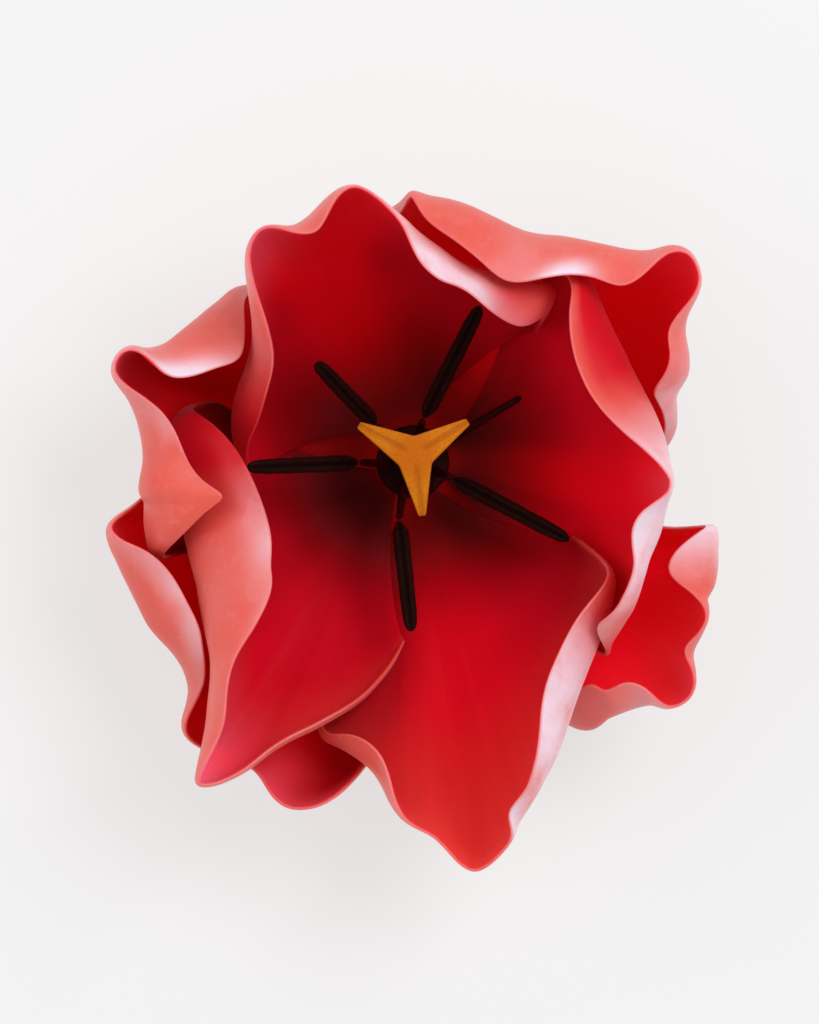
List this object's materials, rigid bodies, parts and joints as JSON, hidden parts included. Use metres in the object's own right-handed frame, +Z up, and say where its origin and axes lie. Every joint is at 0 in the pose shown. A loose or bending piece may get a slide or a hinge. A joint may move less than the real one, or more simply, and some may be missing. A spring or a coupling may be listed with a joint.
{
  "type": "tulip bloom",
  "caption": "Open tulip bloom with waved, rolled petals round dark stamens and a three-armed stigma, cut under the petals and resting face up.",
  "frame": {"origin": "under the middle of the bounding box, on the surface that the bloom rests on", "axes": "+Z up, out of the open bloom; +Y towards the top petal, which is the top of the picture; +X to the picture's right"},
  "size_m": [0.0934, 0.1036, 0.0571],
  "materials": {
    "petal": "satin waxy petal, crimson inside and coral pink outside",
    "filament": "matte, almost black maroon",
    "anther": "matte, powdery brown black",
    "ovary": "smooth olive green",
    "stigma": "matte golden yellow",
    "stem": "smooth pale green, cut flat below"
  },
  "bodies": {
    "root": {"stem_end": "stem", "petal_top": "petal", "petal_right": "petal", "petal_bottom": "petal", "petal_lower_left_inner": "petal", "petal_upper_right": "petal", "petal_upper_left": "petal", "petal_lower_left_outer": "petal", "petal_lower_right": "petal", "filament_upper_left": "filament", "filament_top": "filament", "filament_right": "filament", "filament_lower_right": "filament", "filament_bottom": "filament", "filament_left": "filament", "anther_upper_left": "anther", "anther_top": "anther", "anther_lower_right": "anther", "anther_bottom": "anther", "anther_left": "anther", "ovary": "ovary", "stigma": "stigma"}
  },
  "joints": []
}
